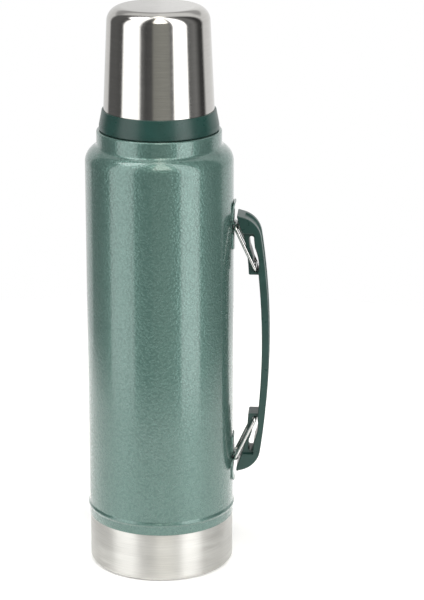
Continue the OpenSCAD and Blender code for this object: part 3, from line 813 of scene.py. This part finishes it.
# ---------------------------------------------------------------- materials
class Nodes:
    """The emptied node tree of a material or world. Nodes are added by type, and their inputs
    are given as values or as other sockets."""

    def __init__(self, owner):
        self.owner = owner
        owner.use_nodes = True
        self.tree = owner.node_tree
        self.tree.nodes.clear()

    def add(self, kind, inputs=None, output=0, **settings):
        node = self.tree.nodes.new("ShaderNode" + kind)
        for key, value in settings.items():
            setattr(node, key, value)
        for key, value in (inputs or {}).items():
            if isinstance(value, bpy.types.NodeSocket):
                self.tree.links.new(value, node.inputs[key])
            else:
                node.inputs[key].default_value = value
        return node.outputs[output]

    def math(self, operation, a, b=0.0):
        return self.add("Math", {0: a, 1: b}, operation=operation)

    def place(self):
        """Coordinates in metres, fixed to the piece."""
        return self.add("TexCoord", output="Object")

    def noise(self, vector, scale, detail=2.0, roughness=0.5):
        return self.add("TexNoise", {
            "Vector": vector, "Scale": scale, "Detail": detail, "Roughness": roughness})

    def spread(self, value, low, high, a=0.0, b=1.0):
        """A value mapped from low..high to a..b and held there."""
        return self.add("MapRange", {
            "Value": value, "From Min": low, "From Max": high, "To Min": a, "To Max": b})

    def blend(self, share, a, b):
        return self.add("Mix", {0: share, 6: a, 7: b}, output=2, data_type="RGBA")

    def bump(self, height, depth, normal=None):
        """A bump whose height of 1 is depth metres."""
        inputs = {"Height": height, "Strength": 1.0, "Distance": depth}
        if normal is not None:
            inputs["Normal"] = normal
        return self.add("Bump", inputs)

    def around(self, turns, lines):
        """Coordinates for marks that run round the Z axis: lines is how many per metre."""
        x, y, z = self.add("SeparateXYZ", {0: self.place()}).node.outputs
        radius = self.math("SQRT", self.math("ADD", self.math("MULTIPLY", x, x),
                                             self.math("MULTIPLY", y, y)))
        safe = self.math("MAXIMUM", radius, 1e-5)
        level = self.math("SUBTRACT", z, radius)
        return self.add("CombineXYZ", {
            0: self.math("MULTIPLY", self.math("DIVIDE", x, safe), turns),
            1: self.math("MULTIPLY", self.math("DIVIDE", y, safe), turns),
            2: self.math("MULTIPLY", level, lines)})

    def shade(self, **inputs):
        """Ends the material in a Principled shader. Names use _ for a space."""
        values = {key.replace("_", " "): value for key, value in inputs.items()}
        return self.surface(self.add("BsdfPrincipled", values), "Material")

    def surface(self, shader, kind):
        """Ends the tree in that shader; kind is Material or World."""
        out = self.tree.nodes.new("ShaderNodeOutput" + kind)
        self.tree.links.new(shader, out.inputs["Surface"])
        return self.owner


def new_material(name):
    return Nodes(bpy.data.materials.new(name))


def rgb(red, green, blue):
    """A colour given as on a screen, 0 to 255, as linear RGBA."""
    linear = [((c / 255 + 0.055) / 1.055) ** 2.4 for c in (red, green, blue)]
    return (*linear, 1.0)


def hammertone():
    """Metallic paint that dried in round pebbles, glossy on top."""
    n = new_material("hammertone_paint")
    place = n.place()
    sway = n.add("TexNoise", {"Vector": place, "Scale": 420.0, "Detail": 1.0}, output="Color")
    moved = n.add("VectorMath", {0: place, 1: n.add(
        "VectorMath", {0: sway, "Scale": 0.0012}, operation="SCALE")}, operation="ADD")
    cells = n.add("TexVoronoi", {"Vector": moved, "Scale": 660.0, "Smoothness": 0.35},
                  feature="SMOOTH_F1")
    small = n.noise(place, 1500.0, 2.0)
    height = n.math("ADD", cells, n.math("MULTIPLY", small, 0.25))
    tone = n.spread(cells, 0.2, 0.75)
    patch = n.spread(n.noise(place, 60.0, 3.0), 0.35, 0.65)
    colour = n.blend(tone, rgb(90, 119, 112), rgb(73, 103, 96))
    colour = n.blend(n.math("MULTIPLY", patch, 0.15), colour, rgb(80, 114, 105))
    rough = n.spread(tone, 0.0, 1.0, 0.27, 0.36)
    return n.shade(
        Base_Color=colour, Metallic=0.5, Roughness=rough, Normal=n.bump(height, -0.00017),
        Coat_Weight=1.0, Coat_Roughness=0.08)


def round_brushed(name, colour, dull, roughness, lines, anisotropy, depth):
    """Steel brushed or polished round the flask's axis."""
    n = new_material(name)
    marks = n.noise(n.around(2.5, lines), 1.0, 3.0, 0.6)
    broad = n.noise(n.around(1.2, lines / 14), 1.0, 2.0)
    blend = n.blend(n.spread(marks, 0.3, 0.7), colour, dull)
    rough = n.spread(broad, 0.3, 0.7, roughness * 0.85, roughness * 1.2)
    tangent = n.add("Tangent", direction_type="RADIAL", axis="Z")
    return n.shade(
        Base_Color=blend, Metallic=1.0, Roughness=rough, Anisotropic=anisotropy,
        Anisotropic_Rotation=0.25, Tangent=tangent, Normal=n.bump(marks, depth))


def satin_plastic(name, colour, shade, roughness, grain):
    """Moulded plastic: a fine spark-eroded grain, slightly uneven gloss."""
    n = new_material(name)
    place = n.place()
    fine_grain = n.noise(place, 2600.0, 2.0)
    cloud = n.spread(n.noise(place, 70.0, 3.0), 0.3, 0.7)
    rough = n.spread(n.noise(place, 240.0, 2.0), 0.3, 0.7, roughness * 0.9, roughness * 1.12)
    return n.shade(
        Base_Color=n.blend(cloud, colour, shade), Roughness=rough, IOR=1.46,
        Normal=n.bump(fine_grain, grain))


def drawn_wire():
    """Bright wire with faint marks of the drawing die along it."""
    n = new_material("bright_wire")
    place = n.place()
    specks = n.noise(place, 900.0, 3.0)
    scratch = n.noise(place, 3500.0, 2.0)
    return n.shade(
        Base_Color=n.blend(n.spread(specks, 0.4, 0.7), rgb(214, 214, 212), rgb(176, 176, 174)),
        Metallic=1.0, Roughness=n.spread(specks, 0.3, 0.7, 0.14, 0.24),
        Normal=n.bump(scratch, 0.000004))


def silicone():
    n = new_material("silicone")
    place = n.place()
    dust = n.spread(n.noise(place, 300.0, 3.0), 0.35, 0.7)
    return n.shade(
        Base_Color=n.blend(dust, rgb(226, 225, 220), rgb(210, 208, 202)), Roughness=0.5,
        Subsurface_Weight=0.12, Subsurface_Scale=0.001, Subsurface_Radius=(1.0, 0.9, 0.8),
        Normal=n.bump(n.noise(place, 1800.0, 2.0), 0.00001))


def foil():
    n = new_material("copper_foil")
    folds = n.noise(n.place(), 140.0, 6.0, 0.65)
    return n.shade(
        Base_Color=n.blend(n.spread(folds, 0.3, 0.7), rgb(222, 176, 146), rgb(198, 148, 116)),
        Metallic=1.0, Roughness=0.22, Normal=n.bump(folds, 0.0004))


def sintered():
    n = new_material("sintered_pellet")
    place = n.place()
    grains = n.add("TexVoronoi", {"Vector": place, "Scale": 1800.0})
    return n.shade(
        Base_Color=n.blend(grains, rgb(104, 104, 108), rgb(62, 62, 66)), Metallic=0.6,
        Roughness=0.7, Normal=n.bump(grains, 0.0001))


def foamed():
    n = new_material("foam")
    place = n.place()
    cells = n.add("TexVoronoi", {"Vector": place, "Scale": 900.0})
    return n.shade(
        Base_Color=n.blend(cells, rgb(236, 228, 204), rgb(206, 196, 166)), Roughness=0.85,
        Normal=n.bump(cells, -0.0002))


def make_materials():
    """One material for each slot of the record, and the cup's brighter steel."""
    return {
        "paint": hammertone(),
        "cup_steel": round_brushed(
            "polished_steel", rgb(206, 204, 200), rgb(190, 188, 184),
            0.13, 5200.0, 0.55, 0.0000012),
        "bare_steel": round_brushed(
            "brushed_steel", rgb(212, 211, 207), rgb(194, 193, 189),
            0.4, 4200.0, 0.95, 0.000003),
        "inner_steel": round_brushed(
            "satin_steel", rgb(196, 195, 192), rgb(176, 175, 172),
            0.33, 3600.0, 0.4, 0.000004),
        "wire": drawn_wire(),
        "trim": satin_plastic(
            "green_plastic", rgb(28, 59, 54), rgb(24, 53, 48), 0.3, 0.000012),
        "silicone": silicone(),
        "foil": foil(),
        "pellet": sintered(),
        "foam": foamed(),
    }


# ---------------------------------------------------------------- the flask, piece by piece
def add_piece(obj, node, body, material):
    """Puts the piece in place of its CAD node, on its body and in its finish."""
    obj.data.materials.clear()
    obj.data.materials.append(material)
    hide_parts(node)
    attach(obj, body)


def make_flask():
    """Makes each piece for its CAD node; the third value is a finish other than its slot's."""
    looks = make_materials()
    bodies = {n: b for b, names in frame["record"]["behaviour"]["bodies"].items() for n in names}
    slots = {p["node"]: p["material_slot"] for p in frame["record"]["subparts"]}
    pieces = [
        (make_jacket(), "outer_shell", None),
        (make_base(), "base_cup", None),
        (make_bottom_disc(), "bottom_cover", None),
        (make_seal_plug(), "seal_plug", None),
        (make_vessel(), "inner_vessel", None),
        (make_vessel_neck(), "vessel_neck", None),
        (make_vessel_bottom(), "vessel_bottom", None),
        (make_foil(), "foil_wrap", None),
        (make_getter(), "getter", None),
        (make_neck_ring(), "neck_ring", None),
        (make_bracket("bracket_upper", 1), "upper_bracket", None),
        (make_bracket("bracket_lower", -1), "lower_bracket", None),
        (make_bail("bail_upper", 1), "upper_bail", None),
        (make_bail("bail_lower", -1), "lower_bail", None),
        (make_grip(), "grip", None),
        (make_collar(), "cup_ring", None),
        (make_cup_wall("cup_outside", 0), "cup_shell", "cup_steel"),
        (make_cup_wall("cup_inside", LINER_DEPTH), "cup_liner", None),
        (make_gasket("cup_seal_ring", "cup_gasket", COLLAR_BORE_R + 1.35), "cup_gasket", None),
        (make_plug(), "stopper_body", None),
        (make_foam(), "stopper_core", None),
        (make_knob(), "stopper_cap", None),
        (make_gasket("stopper_seal_ring", "stopper_gasket", MOUTH_R + 0.4), "stopper_gasket", None),
        (make_oring(), "stopper_oring", None),
    ]
    for obj, node, look in pieces:
        add_piece(obj, node, bodies[node], looks[look or slots[node]])


# ---------------------------------------------------------------- studio
CAMERA_TURN = math.radians(4.5)
CAMERA_BACK, CAMERA_UP = 1.476, 0.631
CAMERA_YAW, CAMERA_PITCH = math.radians(1.30), math.radians(17.08)
LENS = 142.9
LAMP_AIM_Z = 0.18
SIDE_PATCH, TOP_PATCH = (5.5, 5.5, 5.5, 1), (4.5, 4.35, 4.0, 1)


def turned(x, y):
    """A point of the studio, which faces the camera, in the flask's frame."""
    c, s = math.cos(CAMERA_TURN), math.sin(CAMERA_TURN)
    return x * c - y * s, x * s + y * c


def make_camera():
    """The camera of the photo's view, in front of the flask and a little above it."""
    data = bpy.data.cameras.new("camera")
    data.lens = LENS
    data.sensor_width = 36
    data.clip_start, data.clip_end = 0.05, 30
    camera = bpy.data.objects.new("camera", data)
    bpy.context.scene.collection.objects.link(camera)
    x, y = turned(0, -CAMERA_BACK)
    camera.location = (x, y, CAMERA_UP)
    dx, dy = turned(math.sin(CAMERA_YAW), math.cos(CAMERA_YAW))
    level = math.cos(CAMERA_PITCH)
    look = Vector((dx * level, dy * level, -math.sin(CAMERA_PITCH)))
    camera.rotation_mode = "QUATERNION"
    camera.rotation_quaternion = look.to_track_quat("-Z", "Y")
    bpy.context.scene.camera = camera


def make_floor():
    """A pale round floor whose rim fades into the white background."""
    size, steps = 0.62, 96
    bm = bmesh.new()
    rings = [[bm.verts.new((0, 0, 0))]]
    for radius in (0.08, 0.2, 0.4, size):
        rings.append([bm.verts.new((radius * math.cos(TURN * i / steps),
                                    radius * math.sin(TURN * i / steps), 0)) for i in range(steps)])
    for i in range(steps):
        j = (i + 1) % steps
        bm.faces.new((rings[0][0], rings[1][i], rings[1][j]))
        for a, b in zip(rings[1:], rings[2:]):
            bm.faces.new((a[i], b[i], b[j], a[j]))
    mesh = bpy.data.meshes.new("floor")
    bm.to_mesh(mesh)
    bm.free()
    floor = bpy.data.objects.new("floor", mesh)
    bpy.context.scene.collection.objects.link(floor)
    floor.location.z = -0.0002
    n = new_material("pale_floor")
    place = n.place()
    distance = n.add("VectorMath", {0: place}, output="Value", operation="LENGTH")
    fade = n.spread(distance, 0.42, 0.6)
    paper = n.spread(n.noise(place, 30.0, 3.0), 0.3, 0.7, 0.13, 0.19)
    matte = n.add("BsdfPrincipled", {
        "Base Color": (0.86, 0.86, 0.855, 1), "Roughness": 0.6,
        "Emission Color": (1.0, 1.0, 0.995, 1), "Emission Strength": paper})
    clear = n.add("BsdfTransparent")
    mixed = n.add("MixShader", {0: fade, 1: matte, 2: clear})
    mesh.materials.append(n.surface(mixed, "Material"))


# What the steel mirrors: (degrees to the right of the camera, grey) round the studio
SURROUND = [
    (-180, 0.85), (-134, 0.85), (-127, 0.14), (-106, 0.14), (-85, 0.1), (-80, 2.1), (-43, 2.1),
    (-38, 0.22), (-28, 0.09), (-15, 0.12), (-10, 0.32), (8, 0.36), (22, 0.34), (26, 0.2),
    (30, 0.25), (34, 3.0), (61, 3.0), (66, 0.16), (84, 0.26), (98, 0.06), (108, 0.05),
    (116, 0.9), (180, 1.0)]
BRIGHTEST = max(grey for _, grey in SURROUND)


def make_walls(n, right):
    """The colour of the studio's walls at an azimuth to the camera's right, from SURROUND."""
    ramp = n.tree.nodes.new("ShaderNodeValToRGB")
    share = n.math("ADD", n.math("DIVIDE", right, TURN), 0.5)
    n.tree.links.new(share, ramp.inputs[0])
    stops = ramp.color_ramp.elements
    for i, (degrees, grey) in enumerate(SURROUND):
        at = degrees / 360 + 0.5
        stop = stops[i] if i < 2 else stops.new(at)
        stop.position = at
        warm = 0.92 if -12 < degrees < 24 else 1.0
        stop.color = (grey / BRIGHTEST, grey / BRIGHTEST, grey * warm / BRIGHTEST, 1)
    return ramp.outputs[0]


def make_world():
    """The studio round the flask, seen only in reflections and as light; the camera sees white."""
    world = bpy.data.worlds.new("studio")
    bpy.context.scene.world = world
    n = Nodes(world)
    way = n.add("TexCoord", output="Generated")
    way = n.add("VectorRotate", {"Vector": way, "Angle": -CAMERA_TURN}, rotation_type="Z_AXIS")
    x, y, z = n.add("SeparateXYZ", {0: way}).node.outputs
    right = n.math("ARCTAN2", x, n.math("MULTIPLY", y, -1.0))
    height = n.math("ARCSINE", z)

    def step(low, high):
        """0 below one elevation in degrees, 1 above the other."""
        return n.spread(height, math.radians(low), math.radians(high))

    def window(low, high, soft):
        """1 between two azimuths in degrees, 0 outside them."""
        return n.math("SUBTRACT", *[
            n.spread(right, math.radians(at - soft), math.radians(at + soft))
            for at in (low, high)])

    behind = n.spread(y, 0.45, 0.6)
    dark_back = n.math("MULTIPLY", behind, n.math("SUBTRACT", step(24, 30), step(40, 48)))
    dim = n.math("MULTIPLY", BRIGHTEST, n.math(
        "SUBTRACT", 1.0, n.math("MULTIPLY", dark_back, 0.5)))
    walls = n.add("VectorMath", {0: make_walls(n, right), "Scale": dim}, operation="SCALE")
    side = n.math("MULTIPLY", window(-100, -64, 5), n.math(
        "SUBTRACT", step(46, 52), step(74, 80)))
    walls = n.blend(side, walls, SIDE_PATCH)
    overhead = n.math("MAXIMUM", n.math("MULTIPLY", window(-12, 22, 4), step(36, 44)),
                      step(82, 87))
    colour = n.blend(overhead, walls, TOP_PATCH)
    lit = n.add("Background", {"Color": colour, "Strength": 1.0})
    white = n.add("Background", {"Color": (1, 1, 1, 1), "Strength": 1.0})
    seen = n.add("LightPath", output="Is Camera Ray")
    n.surface(n.add("MixShader", {0: seen, 1: lit, 2: white}), "World")


def make_lamp(name, right, up, distance, width, height, power, colour):
    """A soft box that far from the flask, at degrees to the camera's right and up."""
    data = bpy.data.lights.new(name, "AREA")
    data.shape = "RECTANGLE"
    data.size, data.size_y = width, height
    data.energy = power
    data.color = colour
    lamp = bpy.data.objects.new(name, data)
    bpy.context.scene.collection.objects.link(lamp)
    a, e = math.radians(right), math.radians(up)
    x, y = turned(distance * math.sin(a) * math.cos(e), -distance * math.cos(a) * math.cos(e))
    lamp.location = (x, y, LAMP_AIM_Z + distance * math.sin(e))
    aim = Vector((0, 0, LAMP_AIM_Z)) - lamp.location
    lamp.rotation_mode = "QUATERNION"
    lamp.rotation_quaternion = aim.to_track_quat("-Z", "Y")
    lamp.visible_camera = False
    lamp.visible_glossy = False


def make_studio():
    make_camera()
    make_floor()
    make_world()
    make_lamp("soft_box_left", -60, 28, 1.6, 0.9, 1.1, 4.5, (1.0, 1.0, 1.0))
    make_lamp("soft_box_right", 45, 24, 1.6, 0.7, 1.1, 9.0, (1.0, 0.995, 0.985))
    view = bpy.context.scene.view_settings
    view.view_transform = "Standard"
    view.look = "None"


make_flask()
make_studio()
